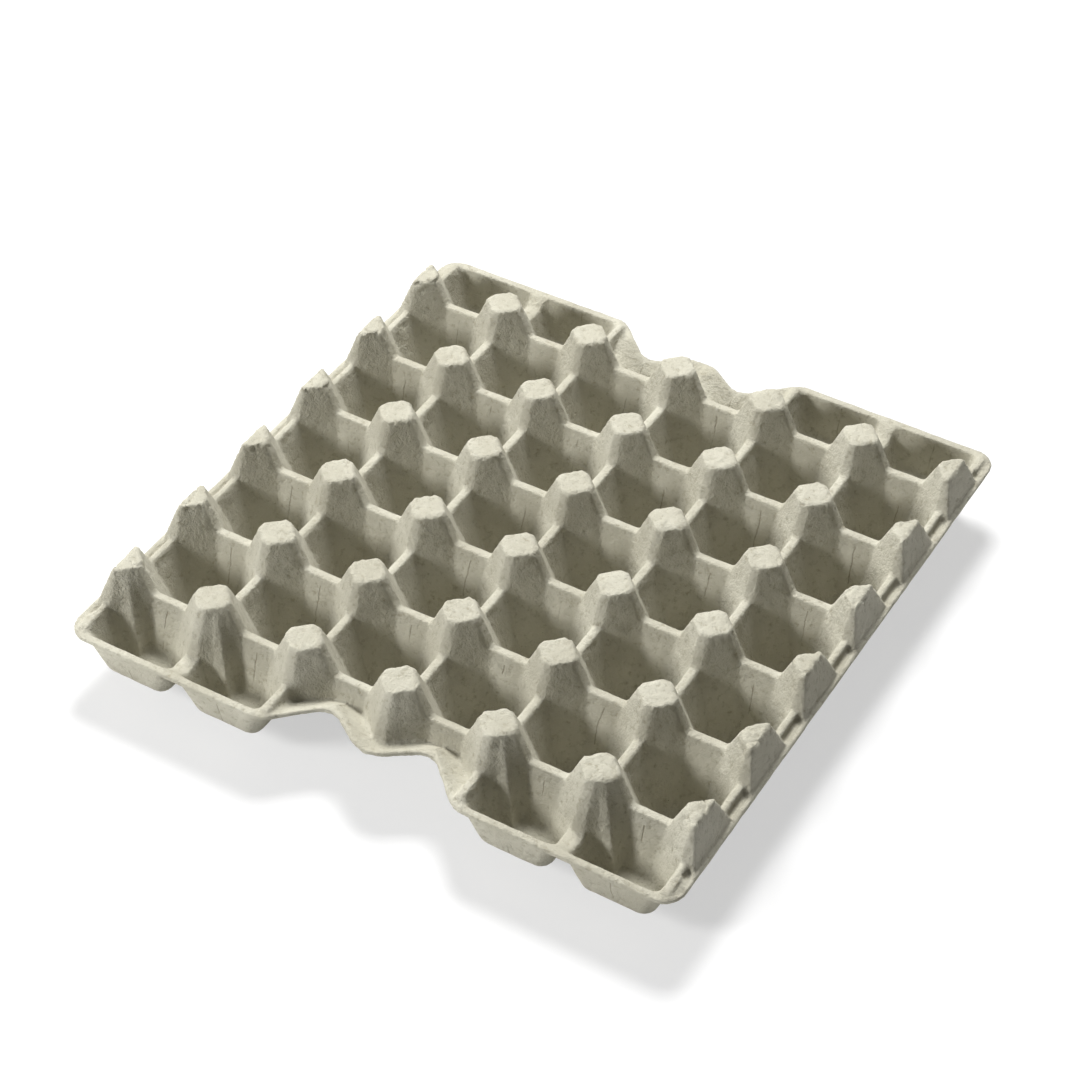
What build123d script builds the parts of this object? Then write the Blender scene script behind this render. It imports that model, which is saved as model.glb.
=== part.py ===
from build123d import *
from math import cos, radians, sqrt, tan
import os

# Moulded pulp tray for thirty eggs, one sheet of pulp of even thickness.
# Millimetres, +Z up. The origin is the centre of the base, on the plane that the cup floors
# stand on. X runs along the six cups of a row, Y along the five rows. The long ends (low
# and high Y) carry the pockets and the finger notches, the short flanges lie along X.

# Overall grid
cell_pitch = 46.5
cups_x = 6
cups_y = 5
tray_height = 48.0
wall = 2.0

# Cups and the posts that stand between them
crest_rise = 2.7           # saddle between two posts, over the rim
crest_width = 3.7
cup_draft = 18.8           # degrees from upright, all eight walls of a cup
post_corner_reach = 11.88  # post centre to a diagonal wall, at the saddle's height
cup_floor_radius = 6.0
post_top_reach = 8.2       # post centre to a narrow facet, at the top
post_facet_draft = 24.2    # degrees from upright, the four narrow facets

# Rim, side flanges and outline
rim_height = 31.3
side_overhang = 6.3        # outer post line to the side edge
end_overhang = 35.3        # outer post line to the end edge
corner_radius = 10.0
side_face_draft = 15.5     # degrees from upright, the cut outer face of a side post
side_bar_overhang = 0.9    # outer post line to the outer edge of the side bars
trough_bottom_offset = 2.3 # outer post line to the bottom of the side trough
trough_outer_offset = 3.9
trough_depth = 4.2         # below the rim
trough_run = 21.0          # how far a trough goes on past the outer post line

# Pockets along the two ends
pocket_floor_height = 11.0
end_flange = 3.5           # pocket's front wall to the end edge, at the rim
pocket_front_draft = 11.0
pocket_rib_width = 2.4     # between two pockets, at the saddle's height
pocket_floor_radius = 4.0
pocket_corner_radius = 4.5
low_rib_drop = 4.5         # below the rim
low_rib_root = 13.0        # outer post line to where the low rib starts
low_rib_ramp = 5.8         # length of its climb to the rim
high_rib_rise = 1.4        # height over the rim of a high rib's outer end
high_rib_setback = 0.8     # its outer end, behind the pocket's front wall

# Pleat on the outer corner of each post that stands in a pocket
pleat_reach = 5.2          # how far it stands out of the corner, at the pocket's floor
pleat_half_width = 4.4
pleat_top_reach = 0.3
pleat_top_half_width = 1.0
pleat_top_drop = 1.0
pleat_root = 2.0           # how deep its foot is sunk into the post

# Finger notches in the middle of both ends
notch_centre = 24.2        # middle of the tray to the deepest point of a notch
notch_overhang = 13.9      # where the two flanks of a notch would meet
bulge_overhang = 30.7
notch_shoulder_radius = 12.0
notch_radius = 9.0
bulge_radius = 16.0
lip_width = 1.8
shelf_drop = 10.3          # below the rim, of the sloping shelf carried in to the post line

grid_half_x = cups_x / 2 * cell_pitch
grid_half_y = cups_y / 2 * cell_pitch
side_half = grid_half_x + side_overhang
end_half = grid_half_y + end_overhang
crest_height = rim_height + crest_rise
pocket_front_reach = end_overhang - end_flange
low_rib_end = pocket_front_reach - low_rib_ramp
high_rib_end = pocket_front_reach - high_rib_setback
shelf_root_height = rim_height - shelf_drop
post_root_depth = tray_height - shelf_root_height + 1.5 * wall
notch_half_span = cell_pitch
cup_side_reach = (cell_pitch - crest_width) / 2
cup_corner_reach = cell_pitch / sqrt(2) - post_corner_reach
pocket_side_reach = (cell_pitch - pocket_rib_width) / 2
notch_line = [
    (-notch_half_span, end_overhang),
    (-notch_centre, notch_overhang),
    (0, bulge_overhang),
    (notch_centre, notch_overhang),
    (notch_half_span, end_overhang),
]
high_rib_half = pocket_rib_width / 2 + tan(radians(cup_draft)) * (crest_height - rim_height)
stock = 10.0               # spare length on solids that are only cut with
stock_top = tray_height + stock


def lean(angle):
    """Run per unit of rise of a wall that leans by angle."""
    return tan(radians(angle))


def shift(angle, inset):
    """Horizontal shift of a leaning wall whose surface moves by inset."""
    return inset / cos(radians(angle))


def cup_reach(reach, level, inset):
    """Distance of a cup wall from the cup's centre at a level."""
    return reach + lean(cup_draft) * (level - crest_height) + shift(cup_draft, inset)


def end_outline(side):
    """Edge points of one end, from low X to high X on side -1, back again on side 1."""
    points = [(-side_half, end_overhang), *notch_line, (side_half, end_overhang)]
    return [(-side * x, side * (grid_half_y + reach)) for x, reach in points]


def tray_outline():
    """Plan of the rim, with rounded corners and notch flanks."""
    with BuildSketch() as plan:
        with BuildLine():
            Polyline(*end_outline(-1), *end_outline(1), close=True)
        make_face()
        radii = {
            side_half: corner_radius,
            notch_half_span: notch_shoulder_radius,
            notch_centre: notch_radius,
            0: bulge_radius,
        }
        for x, radius in radii.items():
            corners = [v for v in plan.vertices() if abs(abs(v.X) - x) < 0.01]
            fillet(corners, radius)
    return plan.sketch


def tapered_space(plan, floor):
    """Space whose walls close in at the cup draft, from a plan at the stock's top to a floor."""
    with BuildPart() as space:
        with BuildSketch():
            add(plan)
        extrude(amount=stock_top - floor, taper=cup_draft)
    return space.part.rotate(Axis.Y, 180).moved(Location((0, 0, stock_top)))


def cup_void(inset):
    """Space of one cup, up past the post tops."""
    side = 2 * cup_reach(cup_side_reach, stock_top, inset)
    corner = 2 * cup_reach(cup_corner_reach, stock_top, inset)
    with BuildSketch() as plan:
        Rectangle(side, side)
        Rectangle(corner, corner, rotation=45, mode=Mode.INTERSECT)
    with BuildPart() as void:
        add(tapered_space(plan.sketch, wall - inset))
        fillet(void.faces().sort_by(Axis.Z)[0].edges(), cup_floor_radius + inset)
    return void.part


def end_cell(floor, inset):
    """Space of a cell of the low Y end, in the middle column, open to the front."""
    side = cup_reach(pocket_side_reach, stock_top, inset)
    back = cup_reach(cup_side_reach, stock_top, inset)
    corner = sqrt(2) * cup_reach(cup_corner_reach, stock_top, inset)
    with BuildSketch() as plan:
        with BuildLine():
            Polyline(
                (-side, -cell_pitch),
                (side, -cell_pitch),
                (side, corner - side),
                (corner - back, back),
                (back - corner, back),
                (-side, corner - side),
                close=True,
            )
        make_face()
    cell = tapered_space(plan.sketch, floor)
    return cell.moved(Location((0, -grid_half_y - cell_pitch / 2, 0)))


def pocket_void(inset):
    """Space of one end pocket of the low Y end, in the middle column."""
    floor = pocket_floor_height - inset
    front = grid_half_y + pocket_front_reach + shift(pocket_front_draft, inset)
    with BuildPart() as behind_front:
        with BuildSketch(Plane.YZ):
            with BuildLine():
                Polyline(
                    (-front - lean(pocket_front_draft) * (floor - rim_height), floor),
                    (-front - lean(pocket_front_draft) * (stock_top - rim_height), stock_top),
                    (0, stock_top),
                    (0, floor),
                    close=True,
                )
            make_face()
        extrude(amount=cell_pitch, both=True)
    with BuildPart() as void:
        add(end_cell(floor, inset))
        add(behind_front.part, mode=Mode.INTERSECT)
        upright = void.edges().filter_by(lambda e: abs(e.tangent_at(0.5).Z) > 0.5)
        fillet(upright.group_by(Axis.Y)[0], pocket_corner_radius + inset)
        fillet(void.faces().sort_by(Axis.Z)[0].edges(), pocket_floor_radius + inset)
    return void.part


def shelf_section(x, rim_overhang, inset):
    """Section of the space above a notch shelf, in the plane across the tray at x."""
    inner = (-grid_half_y, shelf_root_height - inset)
    lip = (-grid_half_y - rim_overhang + lip_width, rim_height - inset)
    with BuildSketch(Plane.YZ.offset(x)) as section:
        with BuildLine():
            Polyline(
                inner,
                lip,
                (-end_half - 2 * stock, lip[1]),
                (-end_half - 2 * stock, stock_top),
                (inner[0], stock_top),
                close=True,
            )
        make_face()
    return section.sketch


def notch_space(inset):
    """Space above the shelf of the low Y end, from pocket to pocket."""
    sections = [shelf_section(x, overhang, inset) for x, overhang in notch_line]
    with BuildPart() as space:
        loft(sections, ruled=True)
    return space.part


def notch_void(inset):
    """The shelf's space, cut back to the outer walls of the two cells behind it."""
    with BuildPart() as cells:
        with Locations((-cell_pitch / 2, 0), (cell_pitch / 2, 0)):
            add(end_cell(0, inset))
    with BuildPart() as void:
        add(notch_space(inset))
        add(cells.part, mode=Mode.INTERSECT)
    return void.part


def post(inset):
    """One post as its four narrow facets, from its flat top down into the tray."""
    root = tray_height - post_root_depth
    half = post_top_reach + lean(post_facet_draft) * post_root_depth
    width = 2 * (half - shift(post_facet_draft, inset))
    with BuildPart() as block:
        with BuildSketch(Plane.XY.offset(root)):
            Rectangle(width, width)
        extrude(amount=post_root_depth - inset, taper=post_facet_draft)
    return block.part


def pleat():
    """Ridge down the outer corner of the post on the middle line, low Y end, high X side."""
    spans = (
        (tray_height - pleat_top_drop, pleat_top_reach, pleat_top_half_width),
        (pocket_floor_height, pleat_reach, pleat_half_width),
    )
    with BuildPart() as ridge:
        for level, reach, half_width in spans:
            corner = sqrt(2) * cell_pitch / 2 - cup_reach(cup_corner_reach, level, 0)
            foot = half_width * (reach + pleat_root) / reach
            with BuildSketch(Plane.XY.offset(level)):
                with BuildLine():
                    Polyline(
                        (corner + reach, 0),
                        (corner - pleat_root, foot),
                        (corner - pleat_root, -foot),
                        close=True,
                    )
                make_face()
        loft(ruled=True)
    return ridge.part.rotate(Axis.Z, -45).moved(Location((0, -grid_half_y, 0)))


def side_trough(inset):
    """Section of the space outside the side bars, with the trough between bar and flange."""
    bottom = rim_height - trough_depth
    bar_slope = (trough_bottom_offset - side_bar_overhang) / (crest_height - bottom)
    with BuildSketch(Plane.XZ) as section:
        with BuildLine():
            Polyline(
                (grid_half_x + trough_bottom_offset - bar_slope * (stock_top - bottom), stock_top),
                (grid_half_x + trough_bottom_offset, bottom),
                (grid_half_x + trough_outer_offset, rim_height),
                (side_half + 2 * stock, rim_height),
                (side_half + 2 * stock, stock_top),
                close=True,
            )
        make_face()
        if inset:
            offset(amount=inset)
        mirror(about=Plane.YZ)
    return section.sketch


def side_cut(inset):
    """Section of the space outside the cut faces of the side posts, above the flange."""
    floor = rim_height - inset
    post_line = grid_half_x - shift(side_face_draft, inset)
    with BuildSketch(Plane.XZ) as section:
        with BuildLine():
            Polyline(
                (post_line - lean(side_face_draft) * stock, stock_top),
                (post_line + lean(side_face_draft) * (tray_height - floor), floor),
                (side_half + 2 * stock, floor),
                (side_half + 2 * stock, stock_top),
                close=True,
            )
        make_face()
        mirror(about=Plane.YZ)
    return section.sketch


def high_rib():
    """Crest of a high rib, falling from the post to the rim, with walls left for the pockets."""
    with BuildPart() as rib:
        with BuildSketch(Plane.YZ):
            with BuildLine():
                Polyline(
                    (-grid_half_y, rim_height - wall),
                    (-grid_half_y, crest_height),
                    (-grid_half_y - high_rib_end, rim_height + high_rib_rise),
                    (-grid_half_y - high_rib_end - high_rib_rise, rim_height - wall),
                    close=True,
                )
            make_face()
        extrude(amount=high_rib_half, both=True)
    return rib.part


def low_rib_space(inset):
    """Space above a low rib, from the post's foot to the ramp up to the rim."""
    low = rim_height - low_rib_drop - inset
    rim = rim_height - inset
    with BuildPart() as space:
        with BuildSketch(Plane.YZ):
            with BuildLine():
                Polyline(
                    (-grid_half_y - low_rib_root, low),
                    (-grid_half_y - low_rib_end, low),
                    (-grid_half_y - pocket_front_reach, rim),
                    (-grid_half_y - pocket_front_reach, rim + stock),
                    (-grid_half_y - low_rib_root, rim + stock),
                    close=True,
                )
            make_face()
        extrude(amount=cell_pitch / 6, both=True)
    return space.part


def shelf_middle(inset):
    """Space in front of the middle post, down to the shelf between the two notches."""
    with BuildPart() as middle:
        add(notch_space(inset))
        Box(cell_pitch / 4, 4 * end_half, 4 * tray_height, mode=Mode.INTERSECT)
    return middle.part


def end_shapes(shape, columns, mode):
    """Put a shape of the low Y end on both ends, at the given columns."""
    for turn in (0, 180):
        with Locations(Rotation(0, 0, turn)):
            with Locations(*[(column * cell_pitch, 0) for column in columns]):
                add(shape, mode=mode)


def body_below(inset):
    """Everything under the tray's top surface, with that surface moved in by inset."""
    base = stock + inset
    with BuildPart() as body:
        # Plain slab at the level of the rim, and the block of cells up to the saddles
        with BuildSketch(Plane.XY.offset(-base)):
            Rectangle(2 * (side_half + base), 2 * (end_half + base))
        extrude(amount=base + rim_height - inset)
        with BuildSketch(Plane.XY.offset(-base)):
            Rectangle(2 * (side_half + base), 2 * grid_half_y + crest_width)
        extrude(amount=base + crest_height - inset)
        if not inset:
            end_shapes(high_rib(), (-3, -1, 1, 3), Mode.ADD)
        with BuildSketch(Plane.XZ):
            add(side_trough(inset))
        extrude(amount=grid_half_y + trough_run + inset, both=True, mode=Mode.SUBTRACT)
        end_shapes(low_rib_space(inset), (-2, 2), Mode.SUBTRACT)
        end_shapes(shelf_middle(inset), (0,), Mode.SUBTRACT)
        # Posts, with the outer ones cut off along the sides
        with GridLocations(cell_pitch, cell_pitch, cups_x + 1, cups_y + 1):
            add(post(inset))
        with BuildSketch(Plane.XZ):
            add(side_cut(inset))
        extrude(amount=end_half + 2 * stock, both=True, mode=Mode.SUBTRACT)
        # Cups, pockets and notch shelves
        with GridLocations(cell_pitch, cell_pitch, cups_x, cups_y):
            add(cup_void(inset), mode=Mode.SUBTRACT)
        end_shapes(pocket_void(inset), (-2.5, -1.5, 1.5, 2.5), Mode.SUBTRACT)
        end_shapes(notch_void(inset), (0,), Mode.SUBTRACT)
    return body.part


with BuildPart() as egg_tray:
    add(body_below(0))
    end_shapes(pleat(), (-3, -2, 1, 2), Mode.ADD)
    add(body_below(wall), mode=Mode.SUBTRACT)
    with BuildSketch():
        add(tray_outline())
    extrude(amount=tray_height, mode=Mode.INTERSECT)

egg_tray.part.label = "egg_tray"
os.makedirs("parts", exist_ok=True)
export_step(egg_tray.part, "parts/egg_tray.step")
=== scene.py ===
"""Moulded pulp egg tray: its worn, fibrous skin, in plain soft studio light."""

import logging
import math
from dataclasses import dataclass, field
from enum import Enum

import bpy
import numpy as np
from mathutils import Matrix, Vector, noise


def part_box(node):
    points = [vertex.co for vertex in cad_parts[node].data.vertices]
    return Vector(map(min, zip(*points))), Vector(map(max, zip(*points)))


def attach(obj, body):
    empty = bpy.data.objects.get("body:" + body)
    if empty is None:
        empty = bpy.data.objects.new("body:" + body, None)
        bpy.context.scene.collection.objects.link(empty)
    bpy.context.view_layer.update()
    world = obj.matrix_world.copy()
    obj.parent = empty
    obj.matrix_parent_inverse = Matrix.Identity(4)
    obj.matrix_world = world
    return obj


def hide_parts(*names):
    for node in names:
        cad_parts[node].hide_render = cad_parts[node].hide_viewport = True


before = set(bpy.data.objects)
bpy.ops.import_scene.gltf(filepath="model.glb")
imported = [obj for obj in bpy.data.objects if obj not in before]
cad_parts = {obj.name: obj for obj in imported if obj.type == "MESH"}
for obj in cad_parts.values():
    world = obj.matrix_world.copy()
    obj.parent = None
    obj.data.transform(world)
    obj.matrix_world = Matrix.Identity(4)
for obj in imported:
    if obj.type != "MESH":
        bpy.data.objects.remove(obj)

log = logging.getLogger("egg_tray")
MM = 0.001

# The tray's own layout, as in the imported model: cups stand on a square pitch.
PITCH = 46.5 * MM

Colour = tuple[float, float, float]
Noise = tuple[float, float, float]  # waves a metre, octaves, strength of the finer octaves
Stops = tuple[tuple[float, float], ...]  # pairs of position and brightness along a ramp


class Scale(Enum):
    """Noise frequencies of the pulp, in waves a metre."""

    SHEET = 9.0
    LUMP = 55.0
    DENT = 160.0
    CRUMPLE = 420.0
    CRACK = 130.0


def corner_box(node: str) -> tuple[Vector, Vector]:
    """Give a CAD node's lowest and highest corners.

    Args:
        node: name of the CAD node.

    Returns:
        The two corners, in metres.
    """
    low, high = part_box(node)
    return Vector(low), Vector(high)


def deselect_all() -> None:
    """Leave nothing selected and nothing active."""
    bpy.ops.object.select_all(action="DESELECT")
    bpy.context.view_layer.objects.active = None


def activate(piece: bpy.types.Object) -> None:
    """Make one piece the only selected and the active one."""
    deselect_all()
    piece.select_set(True)
    bpy.context.view_layer.objects.active = piece


def surface_arrays(mesh: bpy.types.Mesh) -> tuple[np.ndarray, np.ndarray]:
    """Read a mesh's points and their normals in one go.

    Args:
        mesh: the mesh to read.

    Returns:
        Places and unit normals, one row a point.
    """
    count = len(mesh.vertices)
    places = np.empty(3 * count, dtype=np.float32)
    normals = np.empty(3 * count, dtype=np.float32)
    mesh.vertices.foreach_get("co", places)
    mesh.vertices.foreach_get("normal", normals)
    return places.reshape(count, 3), normals.reshape(count, 3)


def write_places(mesh: bpy.types.Mesh, places: np.ndarray) -> None:
    """Put a mesh's points back in one go."""
    mesh.vertices.foreach_set("co", np.asarray(places, dtype=np.float32).ravel())
    mesh.update()


@dataclass
class NodeGraph:
    """Short hand for building one material's node tree."""

    material: bpy.types.Material
    links: bpy.types.NodeLinks = field(init=False)
    nodes: bpy.types.Nodes = field(init=False)

    def __post_init__(self) -> None:
        """Start from an empty tree."""
        self.material.use_nodes = True
        self.nodes = self.material.node_tree.nodes
        self.links = self.material.node_tree.links
        self.nodes.clear()

    def add(self, kind: str, **values: object) -> bpy.types.Node:
        """Add a node and set its properties and inputs.

        Args:
            kind: Blender's node type.
            values: properties by name, or input sockets by name with spaces as underscores.

        Returns:
            The new node.
        """
        node = self.nodes.new(kind)
        for name, value in values.items():
            if hasattr(node, name):
                setattr(node, name, value)
            else:
                node.inputs[name.replace("_", " ")].default_value = value
        return node

    def join(self, source: bpy.types.NodeSocket, target: bpy.types.NodeSocket) -> None:
        """Link an output socket to an input socket."""
        self.links.new(source, target)

    def ramp(self, source: bpy.types.NodeSocket, stops: Stops) -> bpy.types.NodeSocket:
        """Turn a value into a grey ramp.

        Args:
            source: the value.
            stops: pairs of position and brightness.

        Returns:
            The ramp's colour output.
        """
        ramp = self.add("ShaderNodeValToRGB")
        points = ramp.color_ramp.elements
        while len(points) < len(stops):
            points.new(0.5)
        for point, (place, level) in zip(points, stops):
            point.position = place
            point.color = (level, level, level, 1.0)
        self.join(source, ramp.inputs["Fac"])
        return ramp.outputs["Color"]

    def mix(
        self, fac: bpy.types.NodeSocket, below: object, above: object
    ) -> bpy.types.NodeSocket:
        """Mix two colours by a mask.

        Args:
            fac: the mask.
            below: colour or socket where the mask is 0.
            above: colour or socket where the mask is 1.

        Returns:
            The mixed colour output.
        """
        mixer = self.add("ShaderNodeMix", data_type="RGBA")
        self.join(fac, mixer.inputs["Factor"])
        for name, value in (("A", below), ("B", above)):
            socket = next(s for s in mixer.inputs if s.name == name and s.type == "RGBA")
            if isinstance(value, bpy.types.NodeSocket):
                self.join(value, socket)
            else:
                socket.default_value = (*value, 1.0)
        return next(s for s in mixer.outputs if s.type == "RGBA")

    def math(self, operation: str, first: object, second: object) -> bpy.types.NodeSocket:
        """Combine two values.

        Args:
            operation: the Math node's operation.
            first: value or socket.
            second: value or socket.

        Returns:
            The result socket.
        """
        node = self.add("ShaderNodeMath", operation=operation)
        for socket, value in zip(node.inputs, (first, second)):
            if isinstance(value, bpy.types.NodeSocket):
                self.join(value, socket)
            else:
                socket.default_value = value
        return node.outputs[0]


@dataclass(frozen=True)
class PulpFinish:
    """Recycled paper pulp: matt, flecked and fibrous."""

    name: str = "pulp"
    body: Colour = (0.425, 0.405, 0.325)
    pale: Colour = (0.500, 0.482, 0.398)
    # Dull tone: partly the pulp's uneven colour, partly painted shade, as it falls where the felt
    # relief dips.
    dull: Colour = (0.325, 0.303, 0.232)
    fleck: Colour = (0.130, 0.115, 0.085)
    fibre: Colour = (0.600, 0.592, 0.525)
    # Painted shade: the dark colour laid along the saddle creases stands in for shade falling
    # into the folds.
    shaded_crease: Colour = (0.250, 0.230, 0.172)
    roughness: float = 0.92
    specular: float = 0.12
    bump_strength: float = 0.7
    relief: float = 2.0 * MM
    grain_share: float = 0.4
    cloud_noise: Noise = (38.0, 5.0, 0.6)
    grain_noise: Noise = (900.0, 4.0, 0.65)
    felt_noise: Noise = (330.0, 6.0, 0.7)
    cloud_stops: Stops = ((0.36, 0.0), (0.66, 1.0))
    felt_stops: Stops = ((0.30, 1.0), (0.47, 0.0))
    crease_share: float = 0.3
    crease_low: float = 13.0 * MM
    crease_high: float = 30.0 * MM
    crease_wander: float = 6.0 * MM
    crease_breaks: Noise = (60.0, 2.0, 0.5)
    crease_stops: Stops = ((0.003, 1.0), (0.008, 0.0))
    crease_kept_stops: Stops = ((0.46, 0.0), (0.54, 0.7))
    fibre_turns: tuple[float, float] = (0.0, 1.1)
    fibre_lean: float = 0.35
    fibre_stretch: tuple[float, float, float] = (0.16, 1.0, 1.0)
    fibre_noise: Noise = (1500.0, 2.0, 0.5)
    fibre_stops: Stops = ((0.66, 0.0), (0.76, 0.40))
    fleck_scale: float = 520.0
    fleck_stops: Stops = ((0.04, 1.0), (0.15, 0.0))
    fleck_rare_stops: Stops = ((0.05, 0.8), (0.09, 0.0))

    def build(self) -> bpy.types.Material:
        """Make the material.

        Returns:
            The finished material.
        """
        material = bpy.data.materials.new(self.name)
        graph = NodeGraph(material)
        place = graph.add("ShaderNodeTexCoord").outputs["Object"]
        cloud = self.noise(graph, place, self.cloud_noise)
        grain = self.noise(graph, place, self.grain_noise)
        felt = self.noise(graph, place, self.felt_noise)
        tint = graph.mix(graph.ramp(cloud, self.cloud_stops), self.body, self.pale)
        # Partly uneven pulp tone, partly painted shade: the dull colour goes where the felt noise
        # is low, which is where the bump dips.
        tint = graph.mix(graph.ramp(felt, self.felt_stops), tint, self.dull)
        for turn in self.fibre_turns:
            tint = graph.mix(self.fibres(graph, place, turn), tint, self.fibre)
        tint = graph.mix(self.flecks(graph, place), tint, self.fleck)
        # Painted shade: the crease lines darken the tint as shade in the folds would; the same
        # mask also sinks the bump below.
        shaded_crease = self.shaded_creases(graph, place, cloud)
        tint = graph.mix(shaded_crease, tint, self.shaded_crease)
        shader = graph.add("ShaderNodeBsdfPrincipled", Roughness=self.roughness)
        shader.inputs["Specular IOR Level"].default_value = self.specular
        graph.join(tint, shader.inputs["Base Color"])
        height = graph.math("ADD", felt, graph.math("MULTIPLY", grain, self.grain_share))
        height = graph.math("SUBTRACT", height, graph.math("MULTIPLY", shaded_crease, self.crease_share))
        bump = graph.add("ShaderNodeBump", Strength=self.bump_strength, Distance=self.relief)
        graph.join(height, bump.inputs["Height"])
        graph.join(bump.outputs["Normal"], shader.inputs["Normal"])
        output = graph.add("ShaderNodeOutputMaterial")
        graph.join(shader.outputs["BSDF"], output.inputs["Surface"])
        return material

    def shaded_creases(
        self, graph: NodeGraph, place: bpy.types.NodeSocket, cloud: bpy.types.NodeSocket
    ) -> bpy.types.NodeSocket:
        """Fine creases down the middle of each saddle's walls, broken and wandering, with painted
        shade along them.

        Args:
            graph: the material's tree.
            place: coordinates.
            cloud: broad noise that bends and breaks the lines.

        Returns:
            A mask of the creases: it paints their shade into the colour and sinks their bump.
        """
        parts = graph.add("ShaderNodeSeparateXYZ")
        graph.join(place, parts.inputs["Vector"])
        bend = graph.math("MULTIPLY", graph.math("SUBTRACT", cloud, 0.5), self.crease_wander)
        along = graph.math("DIVIDE", graph.math("ADD", parts.outputs["X"], bend), PITCH)
        across = graph.math("SUBTRACT", graph.math("FRACT", along, 0.0), 0.5)
        line = graph.ramp(graph.math("ABSOLUTE", across, 0.0), self.crease_stops)
        low = graph.math("GREATER_THAN", parts.outputs["Z"], self.crease_low)
        high = graph.math("LESS_THAN", parts.outputs["Z"], self.crease_high)
        kept = graph.ramp(self.noise(graph, place, self.crease_breaks), self.crease_kept_stops)
        band = graph.math("MULTIPLY", low, high)
        return graph.math("MULTIPLY", graph.math("MULTIPLY", line, band), kept)

    def noise(
        self, graph: NodeGraph, place: bpy.types.NodeSocket, kind: Noise
    ) -> bpy.types.NodeSocket:
        """Add a noise pattern.

        Args:
            graph: the material's tree.
            place: coordinates.
            kind: its scale, octaves and roughness.

        Returns:
            The noise value.
        """
        scale, detail, rough = kind
        node = graph.add("ShaderNodeTexNoise", Scale=scale, Detail=detail, Roughness=rough)
        graph.join(place, node.inputs["Vector"])
        return node.outputs["Fac"]

    def fibres(
        self, graph: NodeGraph, place: bpy.types.NodeSocket, turn: float
    ) -> bpy.types.NodeSocket:
        """Thin pale fibres lying one way.

        Args:
            graph: the material's tree.
            place: coordinates.
            turn: heading of the fibres, in radians.

        Returns:
            A mask of the fibres.
        """
        mapping = graph.add("ShaderNodeMapping")
        mapping.inputs["Rotation"].default_value = (0.5 * turn, self.fibre_lean, turn)
        mapping.inputs["Scale"].default_value = self.fibre_stretch
        graph.join(place, mapping.inputs["Vector"])
        pattern = self.noise(graph, mapping.outputs["Vector"], self.fibre_noise)
        return graph.ramp(pattern, self.fibre_stops)

    def flecks(self, graph: NodeGraph, place: bpy.types.NodeSocket) -> bpy.types.NodeSocket:
        """Sparse dark flecks of ink and bark.

        Args:
            graph: the material's tree.
            place: coordinates.

        Returns:
            A mask of the flecks.
        """
        cells = graph.add("ShaderNodeTexVoronoi", Scale=self.fleck_scale)
        graph.join(place, cells.inputs["Vector"])
        near = graph.ramp(cells.outputs["Distance"], self.fleck_stops)
        chosen = graph.add("ShaderNodeSeparateColor")
        graph.join(cells.outputs["Color"], chosen.inputs["Color"])
        rare = graph.ramp(chosen.outputs["Red"], self.fleck_rare_stops)
        return graph.math("MULTIPLY", near, rare)


@dataclass(frozen=True)
class FloorFinish:
    """Matt white sweep under the tray, which keeps a light shadow."""

    name: str = "floor"
    colour: Colour = (0.84, 0.84, 0.84)
    faint_share: float = 0.985
    pattern_scale: float = 3.0
    glow_share: float = 0.55

    def build(self) -> bpy.types.Material:
        """Make the material: matt to the object, part white glow to the eye.

        Returns:
            The finished material.
        """
        material = bpy.data.materials.new(self.name)
        graph = NodeGraph(material)
        place = graph.add("ShaderNodeTexCoord").outputs["Object"]
        pattern = graph.add("ShaderNodeTexNoise", Scale=self.pattern_scale, Detail=2.0)
        graph.join(place, pattern.inputs["Vector"])
        faint = tuple(self.faint_share * channel for channel in self.colour)
        tone = graph.mix(pattern.outputs["Fac"], self.colour, faint)
        matt = graph.add("ShaderNodeBsdfDiffuse")
        graph.join(tone, matt.inputs["Color"])
        glow = graph.add("ShaderNodeEmission", Strength=1.0)
        rays = graph.add("ShaderNodeLightPath")
        seen = graph.math("MAXIMUM", rays.outputs["Is Camera Ray"], rays.outputs["Is Glossy Ray"])
        seen = graph.math("MAXIMUM", seen, rays.outputs["Is Transmission Ray"])
        blend = graph.add("ShaderNodeMixShader")
        graph.join(graph.math("MULTIPLY", seen, self.glow_share), blend.inputs["Fac"])
        graph.join(matt.outputs["BSDF"], blend.inputs[1])
        graph.join(glow.outputs["Emission"], blend.inputs[2])
        output = graph.add("ShaderNodeOutputMaterial")
        graph.join(blend.outputs["Shader"], output.inputs["Surface"])
        return material


@dataclass(frozen=True)
class Wear:
    """How far the worn sheet strays from its mould, in millimetres."""

    lump: float = 0.12
    dent: float = 0.16
    fold: float = 0.07
    top_fold: float = 0.42
    top_settle: float = 0.10
    crack: float = 0.8
    rim_ripple: float = 0.30
    wave: float = 0.5
    top_start: float = 0.86  # share of the height where a post's top begins
    top_share: float = 0.14
    crack_width: float = 0.08  # in the noise's own units
    rim_coarseness: float = 0.6
    rim_steepness: float = 0.4
    dent_shift: Vector = field(default_factory=lambda: Vector((7.0, 0.0, 0.0)))
    fold_shift: Vector = field(default_factory=lambda: Vector((0.0, 5.0, 0.0)))
    crack_shift: Vector = field(default_factory=lambda: Vector((0.0, 0.0, 9.0)))


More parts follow.
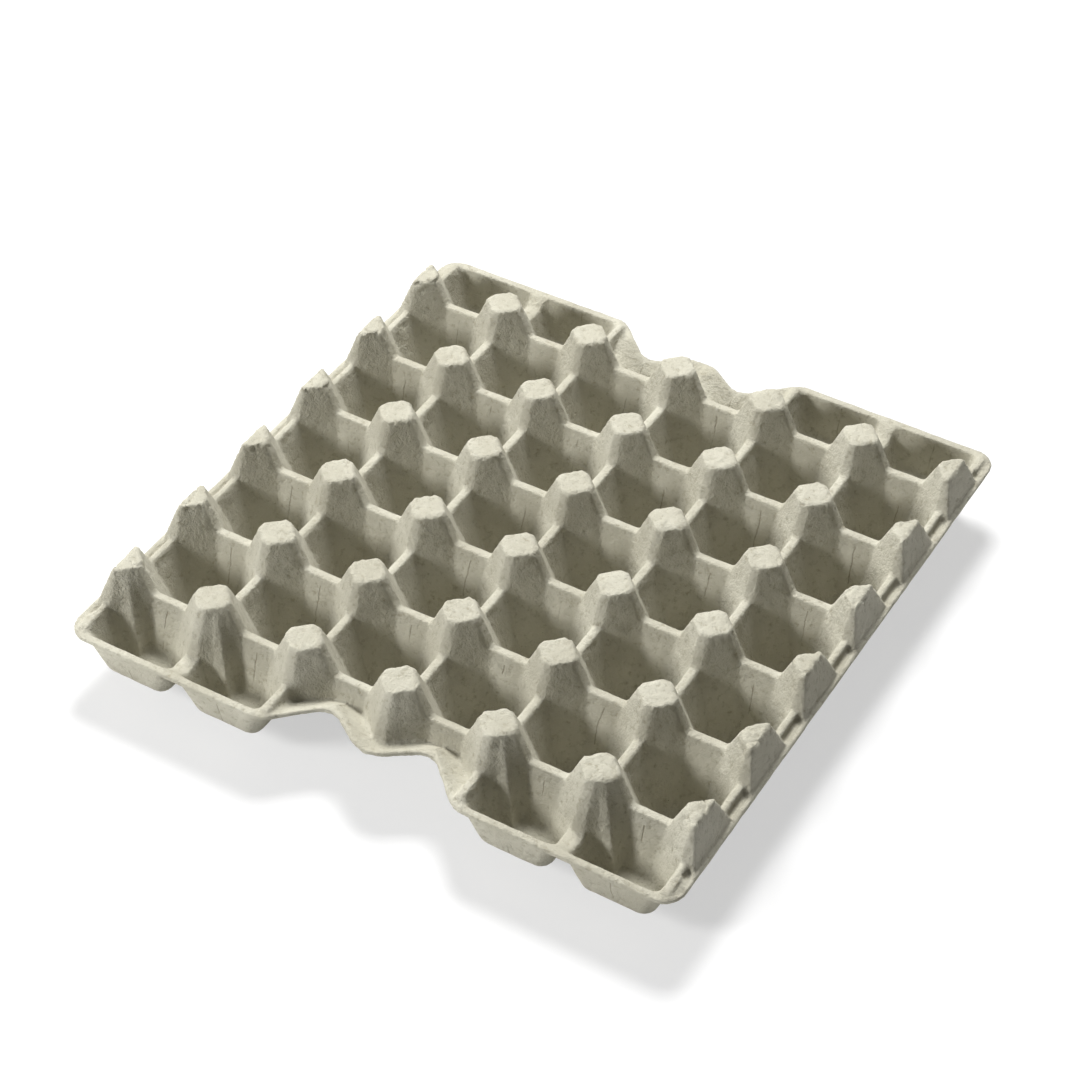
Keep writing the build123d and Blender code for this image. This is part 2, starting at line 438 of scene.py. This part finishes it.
@dataclass
class PulpTray:
    """The one moulded sheet: cups, posts, pockets, notches and rim."""

    node: str = "egg_tray"
    weld: float = 0.002 * MM
    voxel: float = 0.80 * MM
    soften_share: float = 0.5
    soften_steps: int = 1
    triangles: int = 190000
    side_strip: float = 16.0 * MM
    rim_low: float = 28.5 * MM
    rim_high: float = 32.0 * MM
    wear: Wear = field(default_factory=Wear)
    finish: PulpFinish = field(default_factory=PulpFinish)

    def build(self) -> bpy.types.Object:
        """Make the tray's visible mesh round its CAD solid.

        Returns:
            The finished piece.
        """
        piece = self.copy_solid()
        self.soften(piece)
        self.crumple(piece)
        self.thin_out(piece)
        self.keep_in_box(piece)
        self.dress(piece)
        return piece

    def copy_solid(self) -> bpy.types.Object:
        """Copy the CAD node's mesh into a piece of its own, with its triangles joined up.

        Returns:
            The new piece.
        """
        solid = bpy.data.objects[self.node]
        piece = bpy.data.objects.new("pulp_tray", solid.data.copy())
        bpy.context.scene.collection.objects.link(piece)
        piece.data.materials.clear()
        activate(piece)
        bpy.ops.object.mode_set(mode="EDIT")
        bpy.ops.mesh.select_all(action="SELECT")
        bpy.ops.mesh.remove_doubles(threshold=self.weld)
        bpy.ops.object.mode_set(mode="OBJECT")
        return piece

    def soften(self, piece: bpy.types.Object) -> None:
        """Round every edge as wet pulp does, with an even mesh all over."""
        activate(piece)
        remesh = piece.modifiers.new("even", "REMESH")
        remesh.mode = "VOXEL"
        remesh.voxel_size = self.voxel
        bpy.ops.object.modifier_apply(modifier=remesh.name)
        smooth = piece.modifiers.new("soft", "SMOOTH")
        smooth.factor = self.soften_share
        smooth.iterations = self.soften_steps
        bpy.ops.object.modifier_apply(modifier=smooth.name)

    def crumple(self, piece: bpy.types.Object) -> None:
        """Move the surface as a worn sheet: lumps, dents and battered post tops."""
        wear = self.wear
        low, high = corner_box(self.node)
        places, normals = surface_arrays(piece.data)
        side_line = high.x - self.side_strip
        for index, (spot, normal) in enumerate(zip(places, normals)):
            place = Vector(spot)
            rise = (place.z - low.z) / (high.z - low.z)
            top = max(0.0, (rise - wear.top_start) / wear.top_share)
            lump = noise.noise(place * Scale.LUMP.value)
            dent = noise.noise(place * Scale.DENT.value + wear.dent_shift)
            fold = noise.noise(place * Scale.CRUMPLE.value + wear.fold_shift)
            move = (
                wear.lump * lump
                + wear.dent * dent
                + (wear.fold + wear.top_fold * top) * fold
                - wear.top_settle * top
            )
            if top > 0.0 and abs(place.x) > side_line:
                crack = abs(noise.noise(place * Scale.CRACK.value + wear.crack_shift))
                move -= wear.crack * top * max(0.0, 1.0 - crack / wear.crack_width)
            steep = abs(normal[2]) < wear.rim_steepness
            if steep and self.rim_low < place.z < self.rim_high:
                ripple = noise.noise(place * Scale.CRUMPLE.value * wear.rim_coarseness)
                move += wear.rim_ripple * ripple
            wave = noise.noise(Vector((place.x, place.y, 0.0)) * Scale.SHEET.value)
            place += Vector(normal) * (move * MM)
            place.z += wear.wave * MM * wave * rise
            places[index] = place
        write_places(piece.data, np.clip(places, low, high))

    def thin_out(self, piece: bpy.types.Object) -> None:
        """Bring the mesh under its triangle budget, keeping its shape."""
        activate(piece)
        count = sum(len(face.vertices) - 2 for face in piece.data.polygons)
        if count > self.triangles:
            thin = piece.modifiers.new("thin", "DECIMATE")
            thin.ratio = self.triangles / count
            bpy.ops.object.modifier_apply(modifier=thin.name)
        log.info("tray triangles %d from %d", len(piece.data.polygons), count)

    def keep_in_box(self, piece: bpy.types.Object) -> None:
        """Hold every point inside the CAD solid's box."""
        places, _ = surface_arrays(piece.data)
        write_places(piece.data, np.clip(places, *corner_box(self.node)))

    def dress(self, piece: bpy.types.Object) -> None:
        """Give the piece its material, smooth shading and its place in the frame."""
        piece.data.materials.append(self.finish.build())
        activate(piece)
        bpy.ops.object.shade_smooth()
        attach(piece, "root")
        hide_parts(self.node)


@dataclass
class Studio:
    """Floor, soft lights and camera."""

    azimuth: float = 30.9
    elevation: float = 42.8
    distance: float = 24.93 * PITCH
    lens: float = 88.1
    aim: tuple[float, float, float] = (-0.146, 0.104, 24.75)
    sensor: float = 36.0
    far_clip: float = 50.0
    floor_half: float = 6.0
    floor_squares: int = 8
    lamp_distance: float = 1.6
    world_strength: float = 0.12

    def build(self) -> None:
        """Set the whole stage."""
        self.lay_floor()
        self.hang_lights()
        self.light_world()
        self.place_camera()

    def lay_floor(self) -> None:
        """Lay a wide pale floor at the tray's base."""
        deselect_all()
        bpy.ops.mesh.primitive_grid_add(
            x_subdivisions=self.floor_squares,
            y_subdivisions=self.floor_squares,
            size=2 * self.floor_half,
        )
        floor = bpy.context.active_object
        floor.name = "floor"
        floor.data.materials.append(FloorFinish().build())

    def lamp(self, name: str, heading: float, height: float, size: float, power: float) -> None:
        """Hang one soft square lamp aimed at the tray.

        Args:
            name: the lamp's name.
            heading: degrees anticlockwise from the +X side, seen from above.
            height: degrees above the floor.
            size: side of the lamp, in metres.
            power: watts.
        """
        data = bpy.data.lights.new(name, "AREA")
        data.shape = "SQUARE"
        data.size = size
        data.energy = power
        lamp = bpy.data.objects.new(name, data)
        bpy.context.scene.collection.objects.link(lamp)
        turn = math.radians(heading)
        lift = math.radians(height)
        flat = math.cos(lift)
        away = Vector((math.cos(turn) * flat, math.sin(turn) * flat, math.sin(lift)))
        lamp.location = away * self.lamp_distance
        lamp.rotation_euler = away.to_track_quat("Z", "Y").to_euler()

    def hang_lights(self) -> None:
        """Hang a key beyond the far side, and a fill at the near left."""
        self.lamp("key", 118.0, 60.0, 0.50, 40.0)
        self.lamp("fill", 226.0, 28.0, 0.35, 21.0)

    def light_world(self) -> None:
        """Surround the stage with even pale light."""
        world = bpy.data.worlds.new("studio")
        bpy.context.scene.world = world
        world.use_nodes = True
        shade = world.node_tree.nodes["Background"]
        shade.inputs["Color"].default_value = (1.0, 1.0, 1.0, 1.0)
        shade.inputs["Strength"].default_value = self.world_strength

    def place_camera(self) -> None:
        """Stand the camera off the tray's +X, -Y corner, looking down on it."""
        data = bpy.data.cameras.new("camera")
        data.sensor_width = self.sensor
        data.lens = self.lens
        data.clip_end = self.far_clip
        camera = bpy.data.objects.new("camera", data)
        bpy.context.scene.collection.objects.link(camera)
        turn = math.radians(self.azimuth)
        lift = math.radians(self.elevation)
        flat = math.cos(lift)
        away = Vector((math.sin(turn) * flat, -math.cos(turn) * flat, math.sin(lift)))
        aim = Vector((self.aim[0] * PITCH, self.aim[1] * PITCH, self.aim[2] * MM))
        camera.location = aim + away * self.distance
        camera.rotation_euler = away.to_track_quat("Z", "Y").to_euler()
        bpy.context.scene.camera = camera


def main() -> None:
    """Build the tray and the stage."""
    logging.basicConfig(level=logging.INFO, format="%(name)s: %(message)s")
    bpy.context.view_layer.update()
    tray = PulpTray().build()
    log.info("%s ready", tray.name)
    Studio().build()
    bpy.context.scene.view_settings.view_transform = "Standard"


if __name__ == "__main__":
    main()
